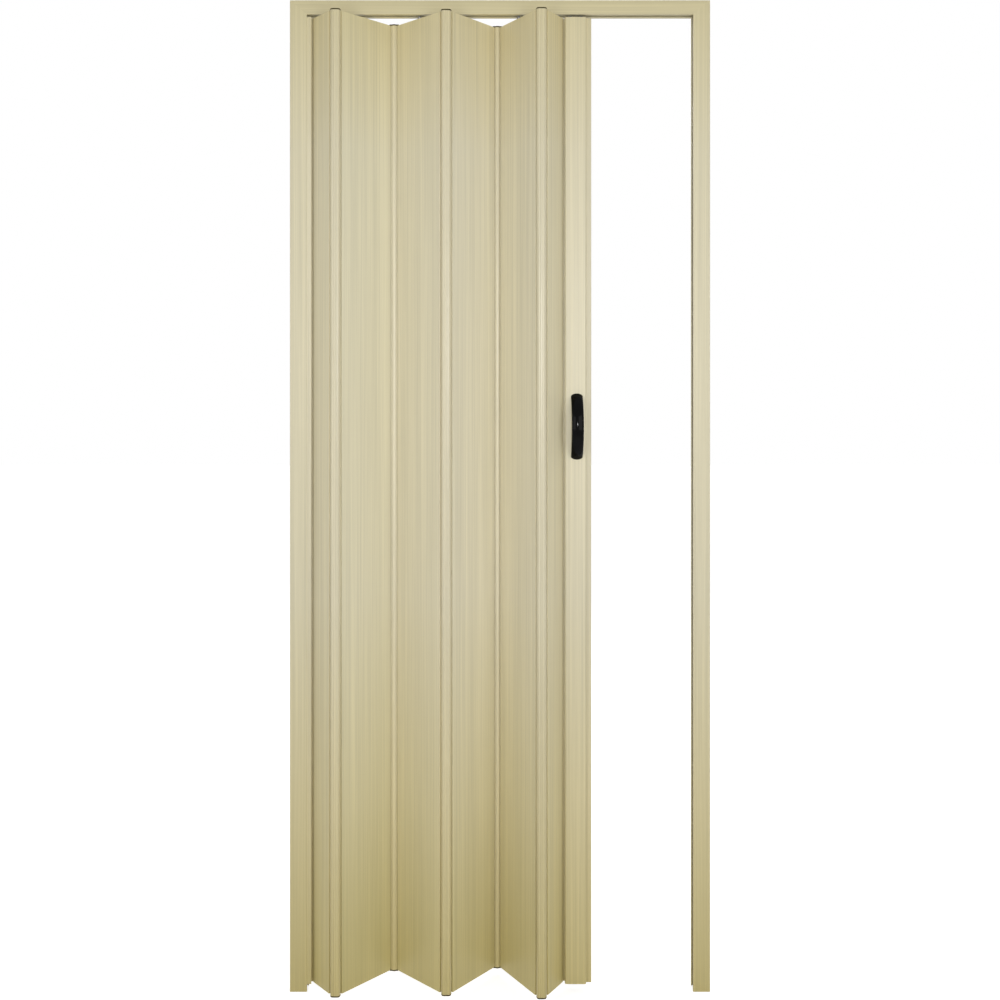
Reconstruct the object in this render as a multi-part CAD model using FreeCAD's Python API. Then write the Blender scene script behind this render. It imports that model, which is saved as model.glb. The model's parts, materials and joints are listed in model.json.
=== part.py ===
"""Accordion door of hollow plastic panels in its own frame, partly open.

Millimetres. X runs along the rail towards the closing side, Y away from the viewer, Z up.
The origin is at floor level, in the middle of the frame and on the centre line of the rail.
"""
import FreeCAD, Part
import math
import os

Vector = FreeCAD.Vector

# Frame: a head rail and two jambs of C section, mitred at the corners
frame_width = 890.0
frame_height = 2100.0
frame_depth = 28.0
jamb_face = 36.0
rail_face = 30.0
frame_wall = 1.6
rail_slot = 10.0
jamb_mouth = 19.0
bracket_thickness = 2.5
bracket_leg = 55.0
bracket_margin = 2.4

# Fixing holes in the backs of the frame profiles
fixing_hole_radius = 2.25
jamb_hole_heights = (250.0, 750.0, 1350.0, 1850.0)
rail_hole_places = (-330.0, -110.0, 110.0, 330.0)

# Panels and their hinge beads
panel_thickness = 9.0
panel_wall = 1.1
panel_web = 0.9
panel_cell_pitch = 22.0
panel_corner_radius = 2.0
bead_radius = 2.45
neck_thickness = 1.8
floor_gap = 17.0
rail_gap = 6.0

# Hinge strips between the panels
hinge_clearance = 0.1
socket_wall = 1.2
fold_gap = 5.0
crown_rise = 4.25
ridge_rise = 1.25
ridge_inset = 1.2
strip_wall = 1.2
strip_end_margin = 1.0
mouth_play_deg = 5.0
body_gap = 0.85
cap_thickness = 2.5
cap_spigot = 6.0
cap_edge_radius = 0.8

# Fold angles from the rail as photographed, and the turns to the shut and the stacked pose
fold_panel_1 = 48.0
fold_panel_3 = 42.0
fold_panel_5 = 56.0
turn_to_shut = 38.6
turn_to_stacked = 33.0

# Starter strip in the mouth of the hinge jamb
starter_base = 5.0
starter_wall = 1.6
starter_flange = 7.3
starter_flange_inset = 1.0
starter_corner_radius = 6.0
arm_thickness = 5.0
swing_gap = 0.7
slide_clearance = 0.4

# Lead post with the handles
lead_width = 61.5
lead_left_thickness = 28.0
lead_middle_thickness = 31.0
lead_shoulder_thickness = 15.6
lead_flat_start = 17.0
lead_flat_width = 26.5
lead_wall = 1.6
lead_left_radius = 9.0
lead_bend_radius = 6.0
nose_bend_radius = 4.0
nose_inner_radius = 0.4
nose_length = 10.9
nose_thickness = 15.0
nose_in_mouth = 10.4
plug_height = 24.0

# Bow handle
handle_length = 140.0
handle_width = 25.0
handle_reach = 38.0
handle_band = 11.0
handle_height = 1197.0
handle_screw_radius = 2.0
handle_screw_play = 0.3
handle_thread_play = 0.05
handle_screw_depth = 6.0
screw_head_radius = 3.5
screw_head_height = 2.2
screw_head_seat = 3.0
screw_head_play = 0.3
screw_socket_radius = 1.3
screw_socket_depth = 1.6

# Hangers and trolleys
pin_radius = 2.0
pin_play = 0.1
pin_bond_play = 0.02
pin_depth = 20.0
pin_collar_radius = 4.5
pin_collar_height = 3.6
pin_head_radius = 3.2
pin_head_height = 1.6
pin_head_play = 0.4
hanger_plug_width = 16.0
lead_pin_places = (18.0, 41.0)
trolley_length = 18.0
trolley_width = 8.8
trolley_floor = 2.0
trolley_above_lip = 0.8
trolley_roof = 4.0
trolley_corner_radius = 2.0
axle_radius = 1.5
axle_play = 0.1
wheel_width = 5.0
wheel_side_gap = 0.8
wheel_edge_radius = 0.8
wheel_lift = 0.2
tread_radius = 7.5

# Places that follow from the sizes above
half_width = frame_width / 2
half_depth = frame_depth / 2
jamb_inner = half_width - jamb_face
rail_bottom = frame_height - rail_face
lip_top = rail_bottom + frame_wall
panel_bottom = floor_gap
panel_top = rail_bottom - rail_gap
bore_radius = bead_radius + hinge_clearance
socket_radius = bore_radius + socket_wall
socket_pitch = panel_thickness + fold_gap
crown_height = socket_radius + crown_rise
strip_bottom = panel_bottom - strip_end_margin
strip_top = panel_top + strip_end_margin
body_start = socket_radius + body_gap
neck_half_angle = math.degrees(math.asin(neck_thickness / 2 / bore_radius))
mouth_half = neck_half_angle + mouth_play_deg
hinge_offset = panel_thickness / 2 + swing_gap
starter_x = -jamb_inner + starter_flange + hinge_offset


def between_sines(first, second):
    """Fold of the panel between two others that keeps their middles on the rail's line."""
    mean = (math.sin(math.radians(first)) + math.sin(math.radians(second))) / 2
    return math.degrees(math.asin(mean))


folds = [
    fold_panel_1,
    between_sines(fold_panel_1, fold_panel_3),
    fold_panel_3,
    between_sines(fold_panel_3, fold_panel_5),
    fold_panel_5,
    fold_panel_5,
]
shares = [0.5, 1.0, 1.0, 1.0, 1.0, 0.5]
strip_count = len(folds) - 1


def reach_of_panels(turn):
    """Length along the rail of all panels, as a multiple of the full hinge spacing."""
    total = 0.0
    for share, fold in zip(shares, folds):
        total += share * math.cos(math.radians(fold + turn))
    return total


# The shut door fills the frame, which fixes the hinge spacing of a full panel
shut_lead_x = jamb_inner + nose_in_mouth - lead_width
shut_span = shut_lead_x - starter_x - strip_count * socket_pitch
hinge_spacing = shut_span / reach_of_panels(-turn_to_shut)


def box(x0, x1, y0, y1, z0, z1):
    """Block between two corners."""
    return Part.makeBox(x1 - x0, y1 - y0, z1 - z0, Vector(x0, y0, z0))


def rod(radius, x, y, z0, z1):
    """Upright cylinder."""
    return Part.makeCylinder(radius, z1 - z0, Vector(x, y, z0))


def cross_rod(radius, x, z, y0, y1):
    """Cylinder along Y."""
    return Part.makeCylinder(radius, y1 - y0, Vector(x, y0, z), Vector(0, 1, 0))


def prism(points, z0, z1):
    """Upright prism over a plan outline."""
    corners = [Vector(x, y, z0) for x, y in points]
    wire = Part.makePolygon(corners + corners[:1])
    return Part.Face(wire).extrude(Vector(0, 0, z1 - z0))


def sheet_prism(points, y0, y1):
    """Prism along Y over an outline in X and Z."""
    corners = [Vector(x, y0, z) for x, z in points]
    wire = Part.makePolygon(corners + corners[:1])
    return Part.Face(wire).extrude(Vector(0, y1 - y0, 0))


def upright_edges(shape, z0, z1):
    """Straight upright edges that run the whole height of a shape."""
    found = []
    for edge in shape.Edges:
        limits = edge.BoundBox
        upright = limits.XLength < 1e-4 and limits.YLength < 1e-4
        if upright and abs(limits.ZLength - (z1 - z0)) < 1e-3:
            found.append(edge)
    return found


def sector(x, y, radius, start_deg, end_deg, z0, z1):
    """Wedge around an upright axis, used to open the mouth of a socket."""
    steps = 4
    points = [(x, y)]
    for step in range(steps + 1):
        angle = math.radians(start_deg + (end_deg - start_deg) * step / steps)
        points.append((x + radius * math.cos(angle), y + radius * math.sin(angle)))
    return prism(points, z0, z1)


def placed(shape, turn_deg, x, y):
    """Copy of a shape turned about the upright axis through its origin and then moved."""
    copy = shape.copy()
    copy.rotate(Vector(0, 0, 0), Vector(0, 0, 1), turn_deg)
    copy.translate(Vector(x, y, 0))
    return copy


def make_head_rail():
    """C section rail with its slot below, mitred at both ends, with fixing holes above."""
    rail = box(-half_width, half_width, -half_depth, half_depth, rail_bottom, frame_height)
    inner = half_depth - frame_wall
    rail = rail.cut(box(-half_width, half_width, -inner, inner, lip_top, frame_height - frame_wall))
    slot = rail_slot / 2
    rail = rail.cut(box(-half_width, half_width, -slot, slot, rail_bottom, lip_top))
    for side in (-1, 1):
        rail = rail.cut(mitre_wedge(side, under=True))
    for place in rail_hole_places:
        rail = rail.cut(rod(fixing_hole_radius, place, 0, frame_height - frame_wall, frame_height))
    return rail


def mitre_wedge(side, under):
    """Space under or over the mitre plane, which runs from the inner to the outer corner."""
    slope = rail_face / jamb_face
    margin = jamb_face
    outer_x = half_width + margin
    inner_x = jamb_inner - margin
    outer_z = frame_height + margin * slope
    inner_z = rail_bottom - margin * slope
    corner = (outer_x, inner_z) if under else (inner_x, outer_z)
    points = [(side * outer_x, outer_z), (side * inner_x, inner_z), (side * corner[0], corner[1])]
    return sheet_prism(points, -half_depth, half_depth)


def make_jamb(side):
    """C section jamb with its mouth towards the opening and fixing holes in its back."""
    outer = side * half_width
    inner = side * jamb_inner
    low, high = min(outer, inner), max(outer, inner)
    jamb = box(low, high, -half_depth, half_depth, 0, frame_height)
    gap = half_depth - frame_wall
    hollow = box(low + frame_wall, high - frame_wall, -gap, gap, 0, frame_height)
    jamb = jamb.cut(hollow)
    lip = inner + side * frame_wall
    mouth = jamb_mouth / 2
    jamb = jamb.cut(box(min(inner, lip), max(inner, lip), -mouth, mouth, 0, frame_height))
    jamb = jamb.cut(mitre_wedge(side, under=False))
    back = outer - side * frame_wall
    for height in jamb_hole_heights:
        start = Vector(min(outer, back), 0, height)
        jamb = jamb.cut(Part.makeCylinder(fixing_hole_radius, frame_wall, start, Vector(1, 0, 0)))
    return jamb


def make_corner_bracket(side):
    """Flat L bracket inside a frame corner, against the back of the jamb and the rail's top."""
    wall_x = half_width - frame_wall
    top_z = frame_height - frame_wall
    points = [
        (wall_x, top_z),
        (wall_x - bracket_leg, top_z),
        (wall_x - bracket_leg, top_z - bracket_thickness),
        (wall_x - bracket_thickness, top_z - bracket_thickness),
        (wall_x - bracket_thickness, top_z - bracket_leg),
        (wall_x, top_z - bracket_leg),
    ]
    half = half_depth - frame_wall - bracket_margin
    return sheet_prism([(side * x, z) for x, z in points], -half, half)


def socket_arm(root_x, tip_x, y, z0, z1):
    """Web that carries a socket clear of the profile behind it."""
    half = arm_thickness / 2
    return box(min(root_x, tip_x), max(root_x, tip_x), y - half, y + half, z0, z1)


def with_socket(shape, root_x, socket_x, start_deg, end_deg, z0, z1):
    """Profile with an arm, a bored socket and the mouth that the panel's neck moves in."""
    shape = shape.fuse(socket_arm(root_x, socket_x, 0, z0, z1))
    shape = shape.fuse(rod(socket_radius, socket_x, 0, z0, z1)).removeSplitter()
    shape = shape.cut(rod(bore_radius, socket_x, 0, z0, z1))
    opening = sector(socket_x, 0, socket_radius + body_gap, start_deg, end_deg, z0, z1)
    return shape.cut(opening)


def make_starter_strip():
    """Profile held behind the lips of the hinge jamb, with the socket of the first panel."""
    lip_back = -jamb_inner - frame_wall
    base_half = half_depth - frame_wall - slide_clearance
    neck_half = jamb_mouth / 2 - slide_clearance
    flange_half = half_depth - starter_flange_inset
    face = -jamb_inner + starter_flange
    base = box(lip_back - starter_base, lip_back, -base_half, base_half, strip_bottom, strip_top)
    flange = box(-jamb_inner, face, -flange_half, flange_half, strip_bottom, strip_top)
    outer_edges = []
    for edge in upright_edges(flange, strip_bottom, strip_top):
        if abs(edge.Vertexes[0].X - face) < 1e-3:
            outer_edges.append(edge)
    flange = flange.makeFillet(starter_corner_radius, outer_edges)
    neck = box(lip_back, -jamb_inner, -neck_half, neck_half, strip_bottom, strip_top)
    strip = base.fuse(neck).fuse(flange).removeSplitter()
    hollow_half = neck_half - starter_wall
    hollow_start = lip_back - starter_base + starter_wall
    hollow_end = face - starter_wall
    strip = strip.cut(box(hollow_start, hollow_end, -hollow_half, hollow_half, strip_bottom, strip_top))
    start = -(fold_panel_1 + turn_to_stacked) - mouth_half
    end = -(fold_panel_1 - turn_to_shut) + mouth_half
    return with_socket(strip, face, starter_x, start, end, strip_bottom, strip_top)


def panel_cells(spacing):
    """Start and end of each hollow cell, an odd number so that one lies in the middle."""
    start = body_start + panel_wall
    end = spacing - body_start - panel_wall
    pairs = round(((end - start) / panel_cell_pitch - 1) / 2)
    count = 2 * max(0, pairs) + 1
    pitch = (end - start + panel_web) / count
    return [(start + cell * pitch, start + (cell + 1) * pitch - panel_web) for cell in range(count)]


def make_panel(spacing):
    """Hollow panel with a hinge bead along each edge, from the origin along X."""
    half = panel_thickness / 2
    body_end = spacing - body_start
    body = box(body_start, body_end, -half, half, panel_bottom, panel_top)
    edges = upright_edges(body, panel_bottom, panel_top)
    body = body.makeFillet(panel_corner_radius, edges)
    cell_half = half - panel_wall
    for start, end in panel_cells(spacing):
        body = body.cut(box(start, end, -cell_half, cell_half, panel_bottom, panel_top))
    neck = neck_thickness / 2
    for bead_x, wall_x in ((0, body_start), (spacing, body_end)):
        low, high = min(bead_x, wall_x), max(bead_x, wall_x)
        body = body.fuse(box(low, high, -neck, neck, panel_bottom, panel_top))
        body = body.fuse(rod(bead_radius, bead_x, 0, panel_bottom, panel_top))
    return body.removeSplitter()


def crown_prism(edge, height, base_y, z0, z1):
    """Rounded front of a hinge strip: an arc over a straight base line."""
    left = Vector(-edge, base_y, z0)
    right = Vector(edge, base_y, z0)
    arc = Part.Arc(left, Vector(0, -height, z0), right).toShape()
    wire = Part.Wire([arc, Part.makeLine(right, left)])
    return Part.Face(wire).extrude(Vector(0, 0, z1 - z0))


def strip_outline(z0, z1):
    """Outer form of a hinge strip: a rounded crown over two sockets."""
    edge = socket_pitch / 2 + socket_radius
    form = crown_prism(edge, crown_height, 0, z0, z1)
    for side in (-1, 1):
        form = form.fuse(rod(socket_radius, side * socket_pitch / 2, 0, z0, z1))
    return form.removeSplitter()


def strip_ridge(z0, z1):
    """Low rounded ridge that joins the sockets on the side away from the crown."""
    edge = socket_pitch / 2 - ridge_inset
    ridge = crown_prism(edge, socket_radius + ridge_rise, -bore_radius, z0, z1)
    return placed(ridge, 180, 0, 0)


def strip_cavity(play, z0, z1):
    """Hollow inside the crown, between the sockets and in front of the web."""
    edge = socket_pitch / 2 + socket_radius
    rise = crown_height
    radius = (edge * edge + rise * rise) / (2 * rise)
    centre_y = radius - rise
    inner = radius - strip_wall - play
    base_y = -(strip_wall / 2 + play)
    half_chord = math.sqrt(inner * inner - (base_y - centre_y) ** 2)
    hollow = crown_prism(half_chord, inner - centre_y, base_y, z0, z1)
    for side in (-1, 1):
        hollow = hollow.cut(rod(socket_radius + play, side * socket_pitch / 2, 0, z0, z1))
    return hollow


def make_hinge_strip(left_fold, right_fold):
    """Rounded strip with two sockets, its crown towards the viewer."""
    strip = strip_outline(strip_bottom, strip_top)
    strip = strip.fuse(strip_ridge(strip_bottom, strip_top)).removeSplitter()
    strip = strip.cut(strip_cavity(0, strip_bottom, strip_top))
    for side, fold in ((-1, left_fold), (1, right_fold)):
        x = side * socket_pitch / 2
        strip = strip.cut(rod(bore_radius, x, 0, strip_bottom, strip_top))
        low = fold - turn_to_shut - mouth_half
        high = fold + turn_to_stacked + mouth_half
        if side < 0:
            low, high = 180 - high, 180 - low
        reach = socket_radius + body_gap
        strip = strip.cut(sector(x, 0, reach, low, high, strip_bottom, strip_top))
    return strip


def make_strip_cap(seat, side):
    """Dark end cap on one end of a hinge strip, with a spigot in the hollow of the strip."""
    rim_z = seat + side * cap_thickness
    low, high = sorted((seat, rim_z))
    cap = strip_outline(low, high)
    rim = [edge for edge in cap.Edges if abs(edge.CenterOfMass.z - rim_z) < 1e-3]
    cap = cap.makeFillet(cap_edge_radius, rim)
    low, high = sorted((seat, rim_z - side * cap_edge_radius))
    half = socket_pitch / 2
    cap = cap.fuse(strip_ridge(low, high)).fuse(box(-half, half, 0, bore_radius, low, high))
    low, high = sorted((seat, seat - side * cap_spigot))
    return cap.fuse(strip_cavity(hinge_clearance, low, high)).removeSplitter()


def make_strip_caps():
    """Both end caps of a hinge strip."""
    return Part.makeCompound([make_strip_cap(strip_top, 1), make_strip_cap(strip_bottom, -1)])


# Plan of the lead post, measured from its hinge
lead_start = hinge_offset
lead_left_half = lead_left_thickness / 2
lead_middle_half = lead_middle_thickness / 2
lead_shoulder_half = lead_shoulder_thickness / 2
lead_shoulder = lead_width - nose_length
lead_flat_end = lead_flat_start + lead_flat_width
handle_x = lead_flat_start + lead_flat_width / 2

# Bow of the handle: outer and inner radius, and how far its centre lies behind the seat
bow_radius = ((handle_length / 2) ** 2 + handle_reach ** 2) / (2 * handle_reach)
bow_inner = bow_radius - handle_band
bow_centre = bow_radius - handle_reach


def lead_corners():
    """Corners of the lead post's plan with their rounding, which is negative in a hollow bend."""
    left_round = min(lead_left_radius, 0.65 * lead_left_half)
    front = [
        (lead_start, -lead_left_half, left_round),
        (lead_flat_start, -lead_middle_half, lead_bend_radius),
        (lead_flat_end, -lead_middle_half, lead_bend_radius),
        (lead_shoulder, -lead_shoulder_half, -nose_bend_radius),
        (lead_width, -nose_thickness / 2, lead_wall + nose_inner_radius),
    ]
    return front + [(x, -y, radius) for x, y, radius in reversed(front)]


def moved_in(corners, inset):
    """Corners of an outline moved in by a wall, each along the bisector of its sides."""
    moved = []
    for index, (x, y, radius) in enumerate(corners):
        before = corners[index - 1]
        after = corners[(index + 1) % len(corners)]
        arriving = Vector(x - before[0], y - before[1], 0).normalize()
        leaving = Vector(after[0] - x, after[1] - y, 0).normalize()
        shift = inset / (1 + arriving.dot(leaving))
        moved_x = x - shift * (arriving.y + leaving.y)
        moved_y = y + shift * (arriving.x + leaving.x)
        moved.append((moved_x, moved_y, radius - inset))
    return moved


def lead_body(inset, z0, z1):
    """Prism over the lead post's plan moved in by a wall, its upright edges rounded."""
    corners = moved_in(lead_corners(), inset)
    body = prism([(x, y) for x, y, radius in corners], z0, z1)
    for x, y, radius in corners:
        corner_edges = []
        for edge in upright_edges(body, z0, z1):
            foot = edge.Vertexes[0]
            if math.hypot(foot.X - x, foot.Y - y) < 1e-3:
                corner_edges.append(edge)
        body = body.makeFillet(abs(radius), corner_edges)
    return body


def make_lead_post():
    """Hollow closing profile with a raised middle, the last socket and a nose."""
    post = lead_body(0, panel_bottom, panel_top)
    post = post.cut(lead_body(lead_wall, panel_bottom, panel_top))
    start = 180 + fold_panel_5 - turn_to_shut - mouth_half
    end = 180 + fold_panel_5 + turn_to_stacked + mouth_half
    post = with_socket(post, lead_start, 0, start, end, panel_bottom, panel_top)
    hole = handle_screw_radius + handle_screw_play
    for height in handle_screw_heights():
        post = post.cut(cross_rod(hole, handle_x, height, -lead_middle_half, lead_middle_half))
    return post


def make_lead_plug(z0, z1, with_pins):
    """Plug that fills an end of the lead post, bored for the hanger pins at the top."""
    plug = lead_body(lead_wall, z0, z1)
    if with_pins:
        for place in lead_pin_places:
            plug = plug.cut(rod(pin_radius + pin_bond_play, place, 0, z1 - pin_depth, z1))
    return plug


def handle_screw_heights():
    """Heights of the two screws, in the middle of the handle's feet."""
    offset = (handle_length / 2 + math.sqrt(bow_inner ** 2 - bow_centre ** 2)) / 2
    return (handle_height - offset, handle_height + offset)


def make_handle():
    """Bow of oval section, its feet cut flat at Y zero and its bow towards the viewer."""
    section_centre = Vector(0, bow_centre - bow_radius + handle_band / 2, 0)
    side = Vector(handle_width / 2, section_centre.y, 0)
    crown = Vector(0, bow_centre - bow_radius, 0)
    oval = Part.Ellipse(side, crown, section_centre).toShape()
    section = Part.Face(Part.Wire([oval]))
    axis_point = Vector(0, bow_centre, 0)
    section.rotate(axis_point, Vector(1, 0, 0), -90)
    bow = section.revolve(axis_point, Vector(1, 0, 0), 180)
    behind_seat = box(-handle_width, handle_width, 0, 2 * bow_radius, -2 * bow_radius, 2 * bow_radius)
    return bow.cut(behind_seat)


def make_front_handle():
    """Front handle with the threaded ends of the screws in its feet."""
    handle = make_handle()
    radius = handle_screw_radius + handle_thread_play
    for height in handle_screw_heights():
        z = height - handle_height
        handle = handle.cut(cross_rod(radius, 0, z, -handle_screw_depth, 0))
    handle.translate(Vector(handle_x, -lead_middle_half, handle_height))
    return handle


def make_rear_handle():
    """Rear handle with the counterbored holes that the screws go in from."""
    handle = make_handle()
    handle.rotate(Vector(0, 0, 0), Vector(0, 0, 1), 180)
    for height in handle_screw_heights():
        z = height - handle_height
        radius = handle_screw_radius + handle_screw_play
        handle = handle.cut(cross_rod(radius, 0, z, 0, screw_head_seat))
        radius = screw_head_radius + screw_head_play
        handle = handle.cut(cross_rod(radius, 0, z, screw_head_seat, handle_reach))
    handle.translate(Vector(handle_x, lead_middle_half, handle_height))
    return handle


def make_handle_screws():
    """Two screws from the rear handle through the lead post into the front handle."""
    screws = []
    seat = lead_middle_half + screw_head_seat
    for height in handle_screw_heights():
        tip = -lead_middle_half - handle_screw_depth + handle_screw_play
        screw = cross_rod(handle_screw_radius, handle_x, height, tip, seat)
        top = seat + screw_head_height
        screw = screw.fuse(cross_rod(screw_head_radius, handle_x, height, seat, top))
        floor = top - screw_socket_depth
        screw = screw.cut(cross_rod(screw_socket_radius, handle_x, height, floor, top))
        screws.append(screw)
    return Part.makeCompound(screws)


# Heights inside the rail
carriage_bottom = lip_top + trolley_above_lip
head_seat = carriage_bottom + trolley_floor
head_pocket_top = head_seat + pin_head_height + pin_head_play
axle_height = lip_top + wheel_lift + tread_radius
carriage_top = axle_height + axle_radius + axle_play + trolley_roof


def make_hanger_pin():
    """Pin from the plug in a panel up to its head inside the trolley."""
    pin = rod(pin_radius, 0, 0, panel_top - pin_depth, head_seat + pin_head_height)
    pin = pin.fuse(rod(pin_collar_radius, 0, 0, panel_top, panel_top + pin_collar_height))
    return pin.fuse(rod(pin_head_radius, 0, 0, head_seat, head_seat + pin_head_height))


def make_trolley():
    """Carriage block inside the rail, with the pocket of the pin's head and the axle bore."""
    half_long = trolley_length / 2
    half_wide = trolley_width / 2
    block = box(-half_long, half_long, -half_wide, half_wide, carriage_bottom, carriage_top)
    block = block.makeFillet(trolley_corner_radius, upright_edges(block, carriage_bottom, carriage_top))
    block = block.cut(rod(pin_radius + pin_play, 0, 0, carriage_bottom, head_seat))
    block = block.cut(rod(pin_head_radius + pin_head_play, 0, 0, head_seat, head_pocket_top))
    return block.cut(cross_rod(axle_radius + axle_play, 0, axle_height, -half_wide, half_wide))


def make_wheelset():
    """Two wheels moulded on one axle, along Y through the trolley."""
    inner = trolley_width / 2 + wheel_side_gap
    outer = inner + wheel_width
    wheelset = cross_rod(axle_radius, 0, axle_height, -inner, inner)
    for side in (-1, 1):
        low, high = sorted((side * inner, side * outer))
        wheel = cross_rod(tread_radius, 0, axle_height, low, high)
        rims = [edge for edge in wheel.Edges if isinstance(edge.Curve, Part.Circle)]
        wheelset = wheelset.fuse(wheel.makeFillet(wheel_edge_radius, rims))
    return wheelset.removeSplitter()


def make_hanger_plug(spacing):
    """Block in the middle cell of a panel that holds the hanger pin."""
    cells = panel_cells(spacing)
    start, end = cells[len(cells) // 2]
    middle = spacing / 2
    half = panel_thickness / 2 - panel_wall
    low = max(start, middle - hanger_plug_width / 2)
    high = min(end, middle + hanger_plug_width / 2)
    plug = box(low, high, -half, half, panel_top - plug_height, panel_top)
    return plug.cut(rod(pin_radius + pin_bond_play, middle, 0, panel_top - pin_depth, panel_top))


def build():
    """All nodes of the door by name, in the partly open pose."""
    nodes = {
        "head_rail": make_head_rail(),
        "hinge_jamb": make_jamb(-1),
        "strike_jamb": make_jamb(1),
        "corner_bracket_left": make_corner_bracket(-1),
        "corner_bracket_right": make_corner_bracket(1),
        "starter_strip": make_starter_strip(),
    }
    full_panel = make_panel(hinge_spacing)
    half_panel = make_panel(hinge_spacing / 2)
    caps = make_strip_caps()
    plug = make_hanger_plug(hinge_spacing)
    pin = make_hanger_pin()
    trolley = make_trolley()
    wheelset = make_wheelset()
    x, y = starter_x, 0.0
    for index, (share, fold) in enumerate(zip(shares, folds)):
        number = index + 1
        turn = -fold if index % 2 == 0 else fold
        step_x = math.cos(math.radians(turn)) * hinge_spacing * share
        step_y = math.sin(math.radians(turn)) * hinge_spacing * share
        panel = full_panel if share == 1.0 else half_panel
        nodes[f"panel_{number}"] = placed(panel, turn, x, y)
        if number in (3, 5):
            middle_x = x + step_x / 2
            middle_y = y + step_y / 2
            nodes[f"hanger_plug_{number}"] = placed(plug, turn, x, y)
            nodes[f"hanger_pin_{number}"] = placed(pin, 0, middle_x, middle_y)
            nodes[f"trolley_{number}"] = placed(trolley, 0, middle_x, middle_y)
            nodes[f"wheelset_{number}"] = placed(wheelset, 0, middle_x, middle_y)
        x += step_x
        y += step_y
        if number <= strip_count:
            strip = make_hinge_strip(fold, folds[index + 1])
            facing = 0 if index % 2 == 0 else 180
            if facing:
                strip = make_hinge_strip(folds[index + 1], fold)
            centre_x = x + socket_pitch / 2
            nodes[f"hinge_strip_{number}"] = placed(strip, facing, centre_x, y)
            nodes[f"strip_caps_{number}"] = placed(caps, facing, centre_x, y)
            x += socket_pitch
    nodes["lead_post"] = placed(make_lead_post(), 0, x, y)
    nodes["lead_top_plug"] = placed(make_lead_plug(panel_top - plug_height, panel_top, True), 0, x, y)
    bottom_end = panel_bottom + plug_height
    nodes["lead_bottom_plug"] = placed(make_lead_plug(panel_bottom, bottom_end, False), 0, x, y)
    for letter, place in zip("ab", lead_pin_places):
        nodes[f"lead_pin_{letter}"] = placed(pin, 0, x + place, y)
        nodes[f"lead_trolley_{letter}"] = placed(trolley, 0, x + place, y)
        nodes[f"lead_wheelset_{letter}"] = placed(wheelset, 0, x + place, y)
    nodes["front_handle"] = placed(make_front_handle(), 0, x, y)
    nodes["rear_handle"] = placed(make_rear_handle(), 0, x, y)
    nodes["handle_screws"] = placed(make_handle_screws(), 0, x, y)
    return nodes


os.makedirs("parts", exist_ok=True)
for name, shape in build().items():
    shape.exportStep(f"parts/{name}.step")
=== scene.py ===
"""Looks of the accordion door: fine plastic profiles, their finishes, soft light and the camera.

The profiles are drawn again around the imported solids, with rounder curves and crisper edges than
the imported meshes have. Hinge places, heights and lengths come from the frame.
"""
import json
import math
import operator

import bmesh
import bpy
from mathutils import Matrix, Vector
from mathutils.geometry import tessellate_polygon


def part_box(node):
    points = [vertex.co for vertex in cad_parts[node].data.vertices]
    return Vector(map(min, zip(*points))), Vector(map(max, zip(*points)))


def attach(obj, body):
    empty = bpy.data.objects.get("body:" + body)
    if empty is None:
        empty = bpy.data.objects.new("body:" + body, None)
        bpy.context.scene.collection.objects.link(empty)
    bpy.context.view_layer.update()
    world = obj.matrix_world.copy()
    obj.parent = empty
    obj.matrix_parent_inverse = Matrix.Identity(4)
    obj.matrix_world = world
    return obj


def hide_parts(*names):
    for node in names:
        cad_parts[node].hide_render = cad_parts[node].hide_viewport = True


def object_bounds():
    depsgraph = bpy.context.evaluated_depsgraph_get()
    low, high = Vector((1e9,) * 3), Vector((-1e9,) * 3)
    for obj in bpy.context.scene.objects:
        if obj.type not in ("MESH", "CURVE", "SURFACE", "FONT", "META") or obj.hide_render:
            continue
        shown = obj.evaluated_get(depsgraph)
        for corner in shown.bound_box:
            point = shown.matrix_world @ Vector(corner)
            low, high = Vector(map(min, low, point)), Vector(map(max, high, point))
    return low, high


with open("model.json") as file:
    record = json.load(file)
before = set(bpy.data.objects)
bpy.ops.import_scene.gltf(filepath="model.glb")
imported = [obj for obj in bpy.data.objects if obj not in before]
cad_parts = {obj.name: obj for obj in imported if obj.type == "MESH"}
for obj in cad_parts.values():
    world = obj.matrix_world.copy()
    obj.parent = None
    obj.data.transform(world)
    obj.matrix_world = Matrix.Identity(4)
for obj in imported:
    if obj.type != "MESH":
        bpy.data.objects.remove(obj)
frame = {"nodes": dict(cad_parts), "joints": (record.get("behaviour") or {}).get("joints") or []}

cad_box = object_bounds()
MM = 0.001
GRAIN_MAP = "grain"

# Fineness of the meshes
ARC_STEP_DEG = 7.5
CROWN_STEPS = 160
CAP_ROUNDING_STEPS = 3
HOLE_SEGMENTS = 24
SHARP_DEG = 28.0
LEVEL_TOLERANCE = 0.1 * MM

# Panels and the beads along their edges
PANEL_COUNT = 6
PANEL_HALF = 4.5 * MM
PANEL_CORNER = 0.8 * MM
PANEL_WALL = 1.1 * MM
PANEL_WEB = 0.9 * MM
PANEL_CELL_PITCH = 22.0 * MM
BODY_START = 4.6 * MM
BEAD_RADIUS = 2.45 * MM
NECK_HALF = 0.9 * MM

# Sockets that hold the beads, each with a mouth for the neck of the panel
BORE_RADIUS = 2.55 * MM
SOCKET_RADIUS = 3.75 * MM
ARM_HALF = 2.5 * MM
MOUTH_PLAY_DEG = 5.0
MOUTH_HALF = math.degrees(math.asin(NECK_HALF / BORE_RADIUS)) + MOUTH_PLAY_DEG

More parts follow.
